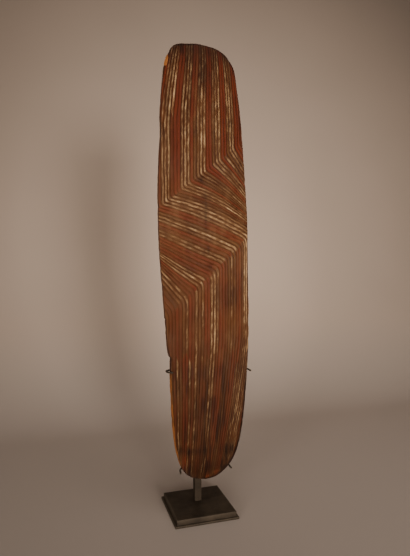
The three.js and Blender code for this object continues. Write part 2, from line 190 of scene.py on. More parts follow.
# Where the clay lies thick, as (x, z, half-width, half-height, amount); below nought it is rubbed off
CLAY = [
    (-62, 735, 6, 45, 0.9), (-52, 808, 4, 18, 0.7), (-68, 692, 4, 18, 0.6), (-32, 745, 4, 12, 0.7),
    (-25, 792, 4, 20, 0.5), (-34, 690, 5, 45, 0.35), (-2, 684, 5, 22, 0.8), (3, 622, 6, 20, 0.9),
    (35, 744, 5, 34, 1.0), (32, 832, 5, 26, 0.7), (24, 652, 5, 18, 0.6), (36, 642, 5, 12, 0.7),
    (57, 702, 4, 40, 0.9), (50, 655, 4, 9, 0.9), (-56, 559, 18, 8, 0.6), (-28, 550, 10, 6, 0.5),
    (6, 545, 16, 12, 0.9), (60, 513, 26, 14, 1.0), (30, 488, 24, 12, 0.6), (-66, 480, 14, 14, 0.4),
    (-1, 442, 7, 9, 0.9), (20, 350, 6, 50, 0.5), (-8, 376, 4, 26, 0.5), (-42, 266, 5, 24, 0.5),
    (-37, 330, 4, 40, 0.3), (66, 208, 6, 36, 0.8), (16, 226, 7, 50, 0.5), (27, 124, 4, 10, 0.7),
    (84, 420, 4, 150, 0.6), (-10, 98, 7, 12, 0.7), (30, 466, 10, 9, 0.5), (60, 560, 22, 22, 0.3),
    (-10, 800, 30, 50, -0.3), (-55, 600, 20, 26, -0.2), (-60, 380, 22, 60, -0.5),
    (40, 340, 14, 60, -0.3), (-48, 250, 4, 24, 0.3), (18, 436, 13, 24, -0.9), (-48, 150, 5, 50, -0.6),
    (-18, 262, 5, 36, 0.5), (-28, 250, 4, 30, 0.4), (10, 250, 5, 40, 0.5), (-33, 100, 11, 14, 0.8),
    (12, 70, 7, 3, 1.2), (26, 76, 6, 3, 1.0), (-70, 446, 12, 10, 0.6),
]

# Dents in the face as (x, z, size, depth)
DENTS = [
    (-7, 619, 4.5, 1.2), (10, 462, 5, 0.9), (-40, 127, 6, 0.5), (8, 488, 3, 0.8), (-58, 835, 4, 0.6),
]

# Dark marks in the face as (x, z, half-width, half-height, strength); below nought it is clean
MARKS = [
    (-7, 619, 4, 6, 0.6), (9, 462, 5, 7, 0.45), (1, 560, 1.2, 34, 0.5), (6, 492, 2, 9, 0.7),
    (-42, 127, 6, 7, 0.3), (-59, 835, 4, 9, 0.35), (44, 85, 6, 2.5, 0.6), (-20, 122, 34, 7, 0.35),
    (30, 168, 16, 22, 0.2), (-12, 195, 12, 16, 0.2), (-6, 820, 26, 26, 0.2), (50, 118, 14, 14, 0.3),
    (12, 70, 7, 3, -0.9), (26, 76, 6, 3, -0.9), (-33, 98, 11, 13, -0.35),
]

# Rods of the stand as (x, y, z). The frame's own rods run the same way, to 0.2 mm.
UPPER_ARM_ROUTE = [
    (-58.5, -35.8, 270.5), (-63, -35.2, 270.8), (-67.4, -31, 271), (-68.4, -25, 271.1),
    (-67, -19.3, 271.2), (-62, -15, 271.1), (-40, -6.5, 270.4), (-9, 0.8, 269.1), (0, 0.8, 268.8),
    (9, 0.8, 268.4), (60, -4.5, 266.4), (84, -9, 265.6), (91.8, -16, 265.4), (92.4, -24, 265.2),
    (92.3, -35, 265),
]
LOWER_ARM_ROUTE = [
    (-43.6, -33, 84.8), (-42.6, -26, 85.4), (-41.4, -18.6, 85.8), (-37.4, -12.4, 85.8),
    (-22, -4, 85.2), (-9, 0.8, 85), (0, 0.8, 84.8), (9, 0.8, 84.6), (30, -1.5, 84.2),
    (48, -6, 83.8), (54.4, -13, 83.6), (54.8, -22, 83.4), (54.8, -31.5, 83.2),
]

# A rod's mesh, and how its ends are domed, as (distance in from the end, width there) in radii
ROD_STEPS = 10
ROD_SIDES = 20
DOME = [(0.0, 0.45), (0.12, 0.8)]

# The lamps as (name, size, spread in degrees, place, point that it looks at, tint)
WARM = (1.0, 0.93, 0.86)
LIGHTS = [
    ("key", 0.7, 50, (0.25, -2.6, 0.42), (0.5, 1.15, 0.5), WARM),
    ("side", 0.8, 50, (-1.85, -1.9, 0.6), (0.8, 1.15, 0.45), WARM),
    ("top", 1.0, 110, (0.2, -0.7, 2.4), (0.2, 0.45, 0.1), (1.0, 0.94, 0.88)),
]


# Sums used all over

def smoothstep(value):
    t = np.clip(value, 0.0, 1.0)
    return t * t * (3 - 2 * t)


def lattice(i, j, seed):
    """A fixed value from 0 to 1 for each whole pair."""
    n = (i * 374761393 + j * 668265263 + seed * 974634777) & 0xFFFFFFFF
    n = ((n ^ (n >> 13)) * 1274126177) & 0xFFFFFFFF
    return ((n ^ (n >> 16)) & 0xFFFF) / 65535.0


def noise(u, v, seed):
    """Smooth values from -1 to 1 that change over one unit of u or v."""
    u, v = np.broadcast_arrays(np.asarray(u, float), np.asarray(v, float))
    i, j = np.floor(u).astype(np.int64), np.floor(v).astype(np.int64)
    f, g = smoothstep(u - i), smoothstep(v - j)
    low = lattice(i, j, seed) * (1 - f) + lattice(i + 1, j, seed) * f
    high = lattice(i, j + 1, seed) * (1 - f) + lattice(i + 1, j + 1, seed) * f
    return 2 * (low * (1 - g) + high * g) - 1


def softer_min(a, b, width):
    overlap = np.maximum(width - np.abs(a - b), 0) / width
    return np.minimum(a, b) - overlap * overlap * width / 4


def softer_max(a, b, width):
    return -softer_min(-a, -b, width)


# The uncarved board

def rim_y(z):
    return RIM_Y + BOW * ((z - MID_HEIGHT) / HALF_LENGTH) ** 2


def axis_x(z):
    return AXIS_TOP_X + (AXIS_LOW_X - AXIS_TOP_X) * smoothstep((720 - z) / 400)


def half_width(z):
    reach = np.where(z > WIDEST_HEIGHT, DRAW_IN_UP, DRAW_IN_DOWN)
    return WIDEST * (1 - ((z - WIDEST_HEIGHT) / reach) ** 2)


def fullness(x, z):
    """1 on the board's axis, falling to 0 at its rim and both ends."""
    across = (x - axis_x(z)) / half_width(z)
    along = np.abs(z - MID_HEIGHT) / HALF_LENGTH
    end = np.where(z > MID_HEIGHT, along ** TOP_BLUNTNESS, along ** TIP_BLUNTNESS)
    return np.maximum(0, 1 - across * across - end)


def front_y(x, z):
    return rim_y(z) - RIM_THICKNESS / 2 - FRONT_CROWN * fullness(x, z)


def back_y(x, z):
    return rim_y(z) + RIM_THICKNESS / 2 + BACK_CROWN * fullness(x, z)


# The flutes, each named by the height at which it crosses, or would cross, the plane X = 0

def fall(height):
    return np.interp(height, [row[0] for row in SLANTS], [row[1] for row in SLANTS])


def sag(height):
    return np.interp(height, [row[0] for row in SLANTS], [row[2] for row in SLANTS])


def slant_z(height, x):
    return height - fall(height) * x - sag(height) * x * x


def height_on_bend(x, bend):
    """The flute that meets a bend line at x."""
    height = np.full(np.shape(x), bend[0], float)
    for _ in range(60):
        height = bend[0] + (bend[1] + fall(height)) * x + sag(height) * x * x
    return height


def height_on_slant(x, z):
    """The flute that would pass through a point if it slanted there."""
    height = np.array(z, float)
    for _ in range(36):
        height = z + fall(height) * x + sag(height) * x * x
    return height


def bend_x(height, bend):
    slope = fall(height) + bend[1]
    climb = height - bend[0]
    inside = slope * slope + 4 * sag(height) * climb
    return 2 * climb / (slope + np.sqrt(np.maximum(inside, 0)))


LAST_UPPER_PLACE = (FLUTE_ZERO_X - LAST_UPPER_X) / UPPER_PITCH
SWITCH_HEIGHT = float(height_on_bend(np.array(LAST_UPPER_X), UPPER_BEND))
FIRST_LOWER_X = float(bend_x(np.array(SWITCH_HEIGHT), LOWER_BEND))


def place_of(number):
    """A flute reckoned in pitches from flute 0. Round the middle the flutes crowd up a little."""
    return number - CROWDING * smoothstep((number - CROWDED_FROM) / CROWDED_OVER)


def number_at(place):
    numbers = np.arange(FIRST_FLUTE - 20, LAST_FLUTE + 20, 0.05)
    return np.interp(place, place_of(numbers), numbers)


def height_of_flute(number):
    place = place_of(number)
    above = height_on_bend(FLUTE_ZERO_X - UPPER_PITCH * place, UPPER_BEND)
    low_x = FIRST_LOWER_X - LOWER_PITCH * (place - LAST_UPPER_PLACE)
    below = height_on_bend(np.minimum(low_x, FIRST_LOWER_X + 1), LOWER_BEND)
    return np.where(place <= LAST_UPPER_PLACE, above, below)


def flute_of_height(height):
    above = (FLUTE_ZERO_X - bend_x(height, UPPER_BEND)) / UPPER_PITCH
    below = LAST_UPPER_PLACE + (FIRST_LOWER_X - bend_x(height, LOWER_BEND)) / LOWER_PITCH
    return number_at(np.where(height >= SWITCH_HEIGHT, above, below))


def draw_shares(z):
    """How far the drawing in has got, towards the top and towards the tip."""
    up = np.maximum(z - TOP_DRAW_FROM, 0) / TOP_DRAW_OVER
    down = np.maximum(TIP_DRAW_FROM - z, 0) / TIP_DRAW_OVER
    return up ** TOP_DRAW_POWER, down ** TIP_DRAW_POWER


def drawn_in(x, z):
    """The straight flutes draw together towards both ends."""
    up, down = draw_shares(z)
    return x + (TOP_SHIFT - TOP_DRAW * x) * up - (TIP_SHIFT + TIP_DRAW * x) * down


def drawn_out(x, z):
    """Undoes drawn_in."""
    up, down = draw_shares(z)
    return (x - TOP_SHIFT * up + TIP_SHIFT * down) / (1 - TOP_DRAW * up - TIP_DRAW * down)


def flute_height_at(x, z):
    """The flute through a point of the face, with its bends rounded, before drawing in."""
    slant = height_on_slant(x, z)
    above = height_on_bend(np.maximum(x, LAST_UPPER_X - 60), UPPER_BEND)
    below = height_on_bend(np.minimum(x, FIRST_LOWER_X + 60), LOWER_BEND)
    upper = softer_min(above, slant, UPPER_ROUNDING)
    return softer_max(below, upper, LOWER_ROUNDING)


def wander(x, z):
    """How far sideways the hand strayed from the true line."""
    return 0.55 * noise(x / 9, z / 38, 7) + 0.2 * noise(x / 5, z / 12, 8)


def flute_at(x, z):
    x = x - wander(x - wander(x, z), z)
    return flute_of_height(flute_height_at(drawn_out(x, z), z))


def flute_lines(numbers):
    """Points down each flute line, as arrays of x and z with a row for each line."""
    height = height_of_flute(numbers)[:, None]
    from_x = bend_x(height, UPPER_BEND)
    to_x = bend_x(height, LOWER_BEND)
    from_z, to_z = slant_z(height, from_x), slant_z(height, to_x)
    above, slant, below = FLUTE_POINTS
    down = np.linspace(1, 0, above, endpoint=False)[None, :]
    over = np.linspace(0, 1, slant)[None, :]
    on = np.linspace(0, 1, below + 1)[None, 1:]
    slant_x = from_x + (to_x - from_x) * over
    x = np.hstack([from_x + 0 * down, slant_x, to_x + 0 * on])
    z = np.hstack([
        from_z + down * (SHIELD_TOP + PAST_THE_END - from_z),
        slant_z(height, slant_x),
        to_z + on * (SHIELD_TIP - PAST_THE_END - to_z),
    ])
    low, high = np.full(x.shape, -LARGEST_SHIFT), np.full(x.shape, LARGEST_SHIFT)
    for _ in range(18):
        middle = (low + high) / 2
        over_shot = flute_height_at(x + middle, z + middle) > height
        high = np.where(over_shot, middle, high)
        low = np.where(over_shot, low, middle)
    shift = (low + high) / 2
    shift = np.where(np.abs(shift) > LARGEST_SHIFT - 0.5, 0, shift)
    x, z = x + shift, z + shift
    x = drawn_in(x, z)
    return x + wander(x, z), z


# Meshes

def new_mesh_object(name, points, faces, material):
    mesh = bpy.data.meshes.new(name)
    mesh.from_pydata([tuple(p) for p in np.asarray(points) * MM], [], [tuple(f) for f in faces])
    mesh.validate()
    mesh.update()
    mesh.materials.append(material)
    made = bpy.data.objects.new(name, mesh)
    bpy.context.scene.collection.objects.link(made)
    return made


def facing_out(points, faces):
    """The faces, turned over together if they face in."""
    centred = points - points.mean(0)
    volume = 0.0
    for face in faces:
        first, rest = centred[face[0]], centred[list(face[1:])]
        volume += (np.cross(rest[:-1], rest[1:]) @ first).sum()
    return faces if volume > 0 else [tuple(reversed(f)) for f in faces]


def grid_faces(rows, columns, closed=False):
    steps = columns if closed else columns - 1
    r, c = np.meshgrid(np.arange(rows - 1), np.arange(steps), indexing="ij")
    a = r * columns + c
    b = r * columns + (c + 1) % columns
    return np.stack([a, b, b + columns, a + columns], -1).reshape(-1, 4)


def slab_object(name, x, y, z, far_y, material):
    """A body between a relief given as grids of x, y and z and a flat far side."""
    rows, columns = x.shape
    near = np.stack([x, y, z], -1).reshape(-1, 3)
    far = near.copy()
    far[:, 1] = far_y
    count = len(near)
    index = np.arange(count).reshape(rows, columns)
    border = np.concatenate([index[0, :], index[1:, -1], index[-1, -2::-1], index[-2:0:-1, 0]])
    after = np.roll(border, -1)
    sides = np.stack([border, border + count, after + count, after], -1)
    near_faces = grid_faces(rows, columns)
    faces = np.vstack([near_faces, near_faces[:, ::-1] + count, sides])
    far_behind = far_y > near[:, 1].max()
    if far_behind != slab_faces_front(x, z):
        faces = faces[:, ::-1]
    return new_mesh_object(name, np.vstack([near, far]), faces.tolist(), material)


def slab_faces_front(x, z):
    """Whether a grid's faces, taken row by row, look towards -Y."""
    ax, az = x[0, 1] - x[0, 0], z[0, 1] - z[0, 0]
    bx, bz = x[1, 0] - x[0, 0], z[1, 0] - z[0, 0]
    return az * bx - ax * bz < 0


def ring_object(name, rings, material):
    """A closed skin over rings of equal length."""
    rings = np.asarray(rings, float)
    count, size, _ = rings.shape
    points = rings.reshape(-1, 3)
    faces = [tuple(f) for f in grid_faces(count, size, closed=True).tolist()]
    faces.append(tuple(reversed(range(size))))
    faces.append(tuple(range((count - 1) * size, count * size)))
    return new_mesh_object(name, points, facing_out(points, faces), material)


def apply_boolean(body, tool, operation):
    """Joins or cuts body with tool, keeps both materials, and deletes tool."""
    cut = body.modifiers.new(operation.title(), "BOOLEAN")
    cut.operation = operation
    cut.object = tool
    cut.solver = "MANIFOLD"
    cut.material_mode = "TRANSFER"
    bake_modifiers(body)
    bpy.data.objects.remove(tool, do_unlink=True)
    if not body.data.polygons:
        raise RuntimeError(f"{operation} left nothing of {body.name}")


def points_of(body):
    """The mesh's points in millimetres."""
    points = np.empty(len(body.data.vertices) * 3)
    body.data.vertices.foreach_get("co", points)
    return points.reshape(-1, 3) / MM


def bake_modifiers(body):
    graph = bpy.context.evaluated_depsgraph_get()
    done = bpy.data.meshes.new_from_object(body.evaluated_get(graph), depsgraph=graph)
    body.modifiers.clear()
    body.data = done


def smooth_by_angle(body, degrees):
    body.data.polygons.foreach_set("use_smooth", [True] * len(body.data.polygons))
    body.data.set_sharp_from_angle(angle=math.radians(degrees))


# The board's outline and breaks

def smooth_stretch(points, step):
    """A Catmull-Rom curve through the points, evenly spaced, without its last point."""
    p = np.array(points, float)
    padded = np.vstack([p[:1], p, p[-1:]])
    t = np.linspace(0, 1, 24, endpoint=False)[:, None]
    curve = []
    for i in range(len(p) - 1):
        a, b, c, d = padded[i:i + 4]
        m0, m1 = (c - a) / 2, (d - b) / 2
        cubic = (2 * b - 2 * c + m0 + m1) * t ** 3 + (-3 * b + 3 * c - 2 * m0 - m1) * t ** 2
        curve.append(cubic + m0 * t + b)
    dense = np.vstack([*curve, p[-1:]])
    run = np.concatenate([[0], np.cumsum(np.hypot(*np.diff(dense, axis=0).T))])
    at = np.linspace(0, run[-1], max(2, round(run[-1] / step)), endpoint=False)
    return np.stack([np.interp(at, run, dense[:, 0]), np.interp(at, run, dense[:, 1])], -1)


def outline(step):
    stretches = [
        RIGHT_SIDE, BROKEN_SIDE, STEP_AT_BREAK, [STEP_AT_BREAK[-1], LOW_LEFT_SIDE[0]],
        LOW_LEFT_SIDE, NICK, [NICK[-1], LEFT_SIDE[0]], LEFT_SIDE, CHIPPED_CORNER,
        [CHIPPED_CORNER[-1], SHOULDER[0]], SHOULDER,
    ]
    return np.vstack([smooth_stretch(s, step) for s in stretches])


def drawn_inside(points, distance):
    along = np.roll(points, -1, 0) - np.roll(points, 1, 0)
    normal = np.stack([-along[:, 1], along[:, 0]], -1) / np.hypot(*along.T)[:, None]
    return points - normal * np.reshape(distance, (-1, 1))


def outline_block(sizes, material):
    points = outline(sizes.rim_step / MM)
    run = np.concatenate([[0], np.cumsum(np.hypot(*np.diff(points, axis=0).T))])
    wobble = 0.35 * np.abs(noise(run / 9, run * 0, 11)) + 0.25 * np.abs(noise(run / 2.5, run * 0, 12))
    nibble = np.maximum(noise(run / 14, run * 0, 13) - 0.45, 0) * 1.6
    worn = drawn_inside(points, wobble + nibble)
    half = RIM_THICKNESS / 2
    rings = []
    for offset, inset in (
        (-45, 1.7), (-half - 2.4, 1.7), (-half - 0.4, 0.7), (-half + 0.6, 0.2), (-half + 1.8, 0),
        (half - 1.8, 0), (half - 0.6, 0.2), (half + 0.4, 0.7), (half + 2.4, 1.7), (45, 1.7),
    ):
        inner = drawn_inside(worn, inset * EDGE_EASE)
        y = rim_y(inner[:, 1]) + offset
        rings.append(np.stack([inner[:, 0], y, inner[:, 1]], -1))
    return ring_object("rim_cut", rings, material)


def rim_loss(name, stations, seed, material):
    """A wedge with a torn face that takes wood off the left rim."""
    table = np.array(stations, float)
    low, high = table[:, 0].min(), table[:, 0].max()
    order = np.argsort(table[:, 0])
    heights = np.linspace(low, high, max(8, round((high - low) / 2.5)))
    back = np.interp(heights, table[order, 0], table[order, 1])
    front = np.interp(heights, table[order, 0], table[order, 2])
    rings = []
    for z, x_back, x_front in zip(heights, back, front):
        start = np.array([x_back, rim_y(z) + RIM_THICKNESS / 2])
        end = np.array([x_front, front_y(x_front, z)])
        run = end - start
        across = np.linspace(-0.6, 1.6, 15)
        facet = start + run * across[:, None]
        normal = np.array([run[1], -run[0]]) / np.hypot(*run)
        tear = 0.32 * noise(across * 7, z / 11 + 0 * across, seed)
        tear += 0.16 * noise(across * 19, z / 5 + 0 * across, seed + 1)
        facet = facet + normal * tear[:, None]
        outer = [(x_back - 45, facet[-1][1]), (x_back - 45, facet[0][1])]
        ring = np.vstack([facet, outer])
        rings.append(np.column_stack([ring[:, 0], ring[:, 1], np.full(len(ring), z)]))
    return ring_object(name, rings, material)


def scoop_tool(material):
    rings = []
    for turn in np.linspace(0.02, math.pi - 0.02, 40):
        spin = np.linspace(0, 2 * math.pi, 72, endpoint=False)
        x = HANDLE_X + SCOOP_SIZE[0] * math.sin(turn) * np.cos(spin)
        y = SCOOP_Y + SCOOP_SIZE[1] * math.sin(turn) * np.sin(spin)
        y += 0.25 * noise(x / 9, HANDLE_HEIGHT / 9 + turn * 6 + 0 * x, 31)
        z = HANDLE_HEIGHT + SCOOP_SIZE[2] * math.cos(turn) + 0 * spin
        rings.append(np.stack([x, y, z], -1))
    return ring_object("scoop_cut", rings, material)


def handle_body(material):
    corner = 0.45
    grip = GRIP_HALF_LENGTH / HANDLE_HALF_LENGTH
    rings = []
    for along in np.linspace(-1, 1, 61):
        reach = abs(along)
        foot = float(smoothstep((reach - 0.3) / 0.7))
        root = float(smoothstep((reach - grip + 0.03) / 0.16))
        outer = GRIP_OUTER_Y + (FOOT_OUTER_Y - GRIP_OUTER_Y) * foot ** 2
        inner = GRIP_INNER_Y + (FOOT_ROOT_Y - GRIP_INNER_Y) * root
        half = GRIP_HALF_WIDTH + (FOOT_HALF_WIDTH - GRIP_HALF_WIDTH) * foot
        middle, deep = (outer + inner) / 2, (outer - inner) / 2
        spin = np.linspace(0, 2 * math.pi, 40, endpoint=False) + math.pi / 40
        power = 2 / (2 + 2 * (1 - corner))
        x = half * np.sign(np.cos(spin)) * np.abs(np.cos(spin)) ** power
        y = deep * np.sign(np.sin(spin)) * np.abs(np.sin(spin)) ** power
        wear = 1 - 0.012 * (1 + noise(spin * 2, along * 9 + 0 * spin, 41))
        z = np.full(x.shape, HANDLE_HEIGHT + along * HANDLE_HALF_LENGTH)
        rings.append(np.stack([HANDLE_X + x * wear, middle + y * wear, z], -1))
    return ring_object("handle", rings, material)


def front_slab(sizes, material):
    """The board's front with its flutes, reaching back past the board."""
    per_flute = sizes.lines_per_flute
    numbers = np.arange(FIRST_FLUTE * per_flute, LAST_FLUTE * per_flute + 1) / per_flute
    x, z = flute_lines(numbers)
    number = numbers[:, None] + 0 * x
    off_centre = np.abs(number - np.round(number)) * 2
    channel = 1 - off_centre ** FLUTE_ROUNDNESS
    worn = 0.85 + 0.25 * noise(x / 22, z / 40, 3) - 0.35 * smoothstep((140 - z) / 70)
    worn -= 0.2 * smoothstep((z - 820) / 50)
    depth = sizes.flute_depth / MM * worn
    y = front_y(x, z) + depth * (channel - 0.5)
    y += 0.35 * noise(x / 26, z / 55, 4) + 0.12 * noise(x / 3.1, z / 14, 5)
    y += 0.1 * (1 - channel) * noise(number * 3, z / 4, 6)
    for spot_x, spot_z, size, deep in DENTS:
        away = ((x - spot_x) ** 2 + (z - spot_z) ** 2) / size ** 2
        y += deep * np.exp(-away)
    return slab_object("shield", x, y, z, CLEAR_BEHIND, material)


def back_slab(material):
    """The board's back with its straight flutes, reaching forward past the board."""
    count = BACK_FLUTES * BACK_LINES
    i = np.arange(-count, count + 1)[:, None] / BACK_LINES
    reach = HALF_LENGTH + BACK_PAST_END
    z = MID_HEIGHT - reach * np.linspace(-1, 1, BACK_POINTS)[None, :] + 0 * i
    x = axis_x(z) + i * BACK_PITCH / 2
    groove = 0.5 - 0.5 * np.cos(math.pi * i + 0 * z)
    ridge = 1 - 2 * groove ** 1.3
    y = back_y(x, z) + BACK_DEPTH / 2 * ridge
    y += 0.3 * noise(x / 24, z / 46, 21) + 0.12 * noise(x / 5, z / 13, 22)
    return slab_object("back_cut", x, y, z, -CLEAR_AHEAD, material)


# What the paint does at each point of the face

def paint_values(x, z):
    """Cream, red and tan paint, the place in the flute and along it, how worn and how dusty it is."""
    number = flute_at(x, z)
    whole = np.round(number).astype(int)
    into = 1 - np.minimum(np.abs(number - whole) * 2, 1) ** FLUTE_ROUNDNESS
    bare_x = drawn_out(x, z)
    above = z > UPPER_BEND[0] + UPPER_BEND[1] * bare_x
    below = z < LOWER_BEND[0] + LOWER_BEND[1] * bare_x
    tip = z < TIP_PAINT_FROM + 22 * noise(x / 5, 0 * x, 51)
    top = z > TOP_PAINT_FROM + 16 * noise(x / 5, 0 * x, 53)
    cream, red, tan = np.zeros_like(x), np.zeros_like(x), np.zeros_like(x)
    for plan, area in (
        (PAINT_SLANT, ~above & ~below), (PAINT_ABOVE, above & ~below), (PAINT_TOP, above & top),
        (PAINT_BELOW, below & ~tip), (PAINT_TIP, below & tip),
    ):
        index = np.clip(whole - FIRST_FLUTE, 0, len(plan) - 1)
        letters = np.array(list(plan))[index]
        for store, amounts in (
            (cream, {"C": 1.0, "c": 0.5}), (red, {"R": 1.0, "r": 0.45}), (tan, {"t": 1.0, "c": 0.3}),
        ):
            for letter, amount in amounts.items():
                store[area & (letters == letter)] = amount
    worn = 0.5 * smoothstep((z - 800) / 80) + 0.45 * smoothstep((470 - z) / 220)
    worn += 0.25 * smoothstep((150 - z) / 60) + 0.25 * noise(x / 5, z / 34, 52)
    for at_x, at_z, wide, tall, amount in CLAY:
        worn -= 0.8 * amount * np.exp(-((x - at_x) / wide) ** 2 - ((z - at_z) / tall) ** 2)
    haze = 0.75 * np.exp(-((z - 535) / 130) ** 2) + 0.25 * smoothstep((480 - z) / 150)
    haze += 0.3 * noise(x / 14, z / 30, 54) - 0.3 * smoothstep((z - 780) / 60)
    return cream, red, tan, into, number, z - bare_x, np.clip(worn, -1, 1), np.clip(haze, 0, 1)


def distance_to_rim(x, z):
    rim = outline(RIM_CHECK_STEP)
    tree = KDTree(len(rim))
    for i, (rim_x, rim_z) in enumerate(rim):
        tree.insert((rim_x, 0, rim_z), i)
    tree.balance()
    return np.array([tree.find((point_x, 0, point_z))[2] for point_x, point_z in zip(x, z)])


def dirt_and_rim_shade_values(x, z):
    """Grime at both ends and in old marks, and a dark band along the rim, most of it on the right: worn
    grime all round, and painted shade along the right edge.
    """
    dirt = 0.45 * smoothstep((z - 820) / 45) + 0.3 * smoothstep((135 - z) / 60)
    dirt += 0.2 * smoothstep((400 - z) / 170)
    dirt += 0.25 * smoothstep((noise(x / 30, z / 45, 81) - 0.2) / 0.8)
    dirt += 0.4 * smoothstep(noise(x / 2.6, z / 30, 83) / 0.7) * smoothstep((340 - z) / 110)
    dirt += 0.3 * smoothstep(noise(x / 2.6, z / 26, 84) / 0.7) * smoothstep((z - 640) / 90)
    for at_x, at_z, wide, tall, strength in MARKS:
        dirt += strength * np.exp(-((x - at_x) / wide) ** 2 - ((z - at_z) / tall) ** 2)
    # The dark band along the rim: grime all round, wider on the right and widest low on the right,
    # where it is painted shade of the edge
    grime_and_shade_width = 1.6 + 1.2 * smoothstep((z - 790) / 40) + 2.6 * smoothstep((290 - z) / 80) * (x > 0)
    grime_and_shade_width = grime_and_shade_width * np.where(x > 0, 1, np.where(z > 845, 1, 0.6))
    near = smoothstep(1.4 - distance_to_rim(x, z) / grime_and_shade_width + 0.3 * noise(x / 6, z / 9, 82))
    return np.clip(dirt + 0.75 * near, 0, 0.92)


def store_values(body, names, values):
    for name, value in zip(names, values):
        layer = body.data.attributes.new(name, "FLOAT", "POINT")
        layer.data.foreach_set("value", np.asarray(value, np.float32))


# Materials

class Recipe:
    """Builds one node material step by step."""

    def __init__(self, name):
        self.material = bpy.data.materials.new(name)
        self.material.use_nodes = True
        self.tree = self.material.node_tree
        self.tree.nodes.clear()
        self.shader = self.add("ShaderNodeBsdfPrincipled")
        output = self.add("ShaderNodeOutputMaterial")
        self.tree.links.new(self.shader.outputs[0], output.inputs[0])

    def add(self, kind, **settings):
        node = self.tree.nodes.new(kind)
        for key, value in settings.items():
            setattr(node, key, value)
        return node

    def put(self, socket, value):
        if isinstance(value, bpy.types.NodeSocket):
            self.tree.links.new(value, socket)
        elif socket.type == "RGBA":
            socket.default_value = (*value, 1)
        else:
            socket.default_value = value

    def value(self, name):
        return self.add("ShaderNodeAttribute", attribute_name=name).outputs["Fac"]

    def place(self):
        return self.add("ShaderNodeTexCoord").outputs["Object"]

    def join(self, x, y):
        node = self.add("ShaderNodeCombineXYZ")
        self.put(node.inputs[0], x)
        self.put(node.inputs[1], y)
        return node.outputs[0]

    def noise(self, vector, scale, detail=3.0, rough=0.55):
        """Noise at one scale, or stretched by a scale for each axis."""
        if isinstance(scale, tuple):
            stretched = self.add("ShaderNodeMapping")
            self.put(stretched.inputs["Vector"], vector)
            stretched.inputs["Scale"].default_value = scale
            vector, scale = stretched.outputs[0], 1.0
        node = self.add("ShaderNodeTexNoise")
        self.put(node.inputs["Vector"], vector)
        node.inputs["Scale"].default_value = scale
        node.inputs["Detail"].default_value = detail
        node.inputs["Roughness"].default_value = rough
        return node.outputs["Fac"]

    def reckon(self, operation, a, b):
        node = self.add("ShaderNodeMath", operation=operation)
        self.put(node.inputs[0], a)
        self.put(node.inputs[1], b)
        return node.outputs[0]

    def plus(self, a, b):
        return self.reckon("ADD", a, b)

    def minus(self, a, b):
        return self.reckon("SUBTRACT", a, b)

    def times(self, a, b):
        return self.reckon("MULTIPLY", a, b)

    def span(self, value, low, high, to_low=0.0, to_high=1.0):
        node = self.add("ShaderNodeMapRange")
        self.put(node.inputs["Value"], value)
        ends = {"From Min": low, "From Max": high, "To Min": to_low, "To Max": to_high}
        for key, number in ends.items():
            node.inputs[key].default_value = number
        return node.outputs[0]

    def mix(self, amount, a, b):
        node = self.add("ShaderNodeMix", data_type="RGBA")
        self.put(node.inputs[0], amount)
        self.put(node.inputs[6], a)
        self.put(node.inputs[7], b)
        return node.outputs[2]

    def bump(self, height, strength, distance, onto=None):
        node = self.add("ShaderNodeBump")
        node.inputs["Strength"].default_value = strength
        node.inputs["Distance"].default_value = distance
        self.put(node.inputs["Height"], height)
        if onto is not None:
            self.put(node.inputs["Normal"], onto)
        return node.outputs[0]

    def finish(self, colour, roughness, normal, shine, index=1.5):
        self.put(self.shader.inputs["Base Color"], colour)
        self.put(self.shader.inputs["Roughness"], roughness)
        self.put(self.shader.inputs["Normal"], normal)
        self.shader.inputs["Specular IOR Level"].default_value = shine
        self.shader.inputs["IOR"].default_value = index
        return self.material


